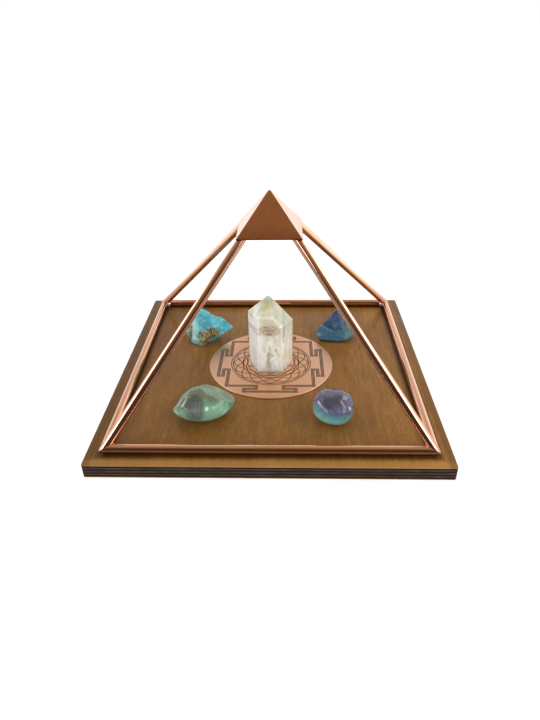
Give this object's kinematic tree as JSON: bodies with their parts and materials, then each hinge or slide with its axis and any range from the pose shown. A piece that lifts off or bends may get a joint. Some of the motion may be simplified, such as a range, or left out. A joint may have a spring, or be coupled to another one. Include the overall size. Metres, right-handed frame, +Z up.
{
  "type": "copper pyramid altar with etched yantra plate",
  "caption": "Open copper tube pyramid on a square plywood board, over an etched yantra plate with an upright quartz point and loose stones.",
  "frame": {"origin": "centre of the board's underside", "axes": "+Z up through the tip of the pyramid, -Y towards the front of the picture, +X to the right"},
  "size_m": [0.24, 0.24, 0.1516],
  "materials": {
    "varnished_veneer": "satin",
    "dark_ply": "satin",
    "light_ply": "satin",
    "copper_tube": "polished",
    "copper_sheet": "satin",
    "etched_copper": "satin",
    "solder": "satin",
    "clear_quartz": "polished",
    "turquoise": "satin",
    "blue_fluorite": "satin",
    "green_fluorite": "polished",
    "purple_fluorite": "polished"
  },
  "bodies": {
    "board": {"board_back_veneer": "varnished_veneer", "board_ply_1": "dark_ply", "board_ply_2": "light_ply", "board_ply_3": "dark_ply", "board_ply_4": "light_ply", "board_ply_5": "dark_ply", "board_ply_6": "light_ply", "board_ply_7": "dark_ply", "board_face_veneer": "varnished_veneer"},
    "pyramid": {"base_rail_front": "copper_tube", "base_rail_back": "copper_tube", "base_rail_left": "copper_tube", "base_rail_right": "copper_tube", "corner_tube_front_left": "copper_tube", "corner_tube_front_right": "copper_tube", "corner_tube_back_right": "copper_tube", "corner_tube_back_left": "copper_tube", "corner_solder_front_left": "solder", "corner_solder_front_right": "solder", "corner_solder_back_right": "solder", "corner_solder_back_left": "solder", "apex_cap": "copper_sheet", "cap_solder": "solder"},
    "plate": {"yantra_plate": "etched_copper"},
    "quartz": {"quartz_point": "clear_quartz"},
    "turquoise": {"turquoise_stone": "turquoise"},
    "fluorite": {"blue_fluorite": "blue_fluorite"},
    "palm_stone": {"green_palm_stone": "green_fluorite"},
    "tumbled_stone": {"purple_tumbled_stone": "purple_fluorite"}
  },
  "joints": [
    {"name": "pyramid_lift", "type": "slide", "parent": "board", "child": "pyramid", "axis": [0, 0, 1], "range_m": [0, 0.2]},
    {"name": "plate_lift", "type": "slide", "parent": "board", "child": "plate", "axis": [0, 0, 1], "range_m": [0, 0.02]},
    {"name": "quartz_lift", "type": "slide", "parent": "plate", "child": "quartz", "axis": [0, 0, 1], "range_m": [0, 0.025]},
    {"name": "turquoise_lift", "type": "slide", "parent": "board", "child": "turquoise", "axis": [0, 0, 1], "range_m": [0, 0.03]},
    {"name": "fluorite_lift", "type": "slide", "parent": "board", "child": "fluorite", "axis": [0, 0, 1], "range_m": [0, 0.03]},
    {"name": "palm_stone_lift", "type": "slide", "parent": "board", "child": "palm_stone", "axis": [0, 0, 1], "range_m": [0, 0.03]},
    {"name": "tumbled_stone_lift", "type": "slide", "parent": "board", "child": "tumbled_stone", "axis": [0, 0, 1], "range_m": [0, 0.03]}
  ]
}
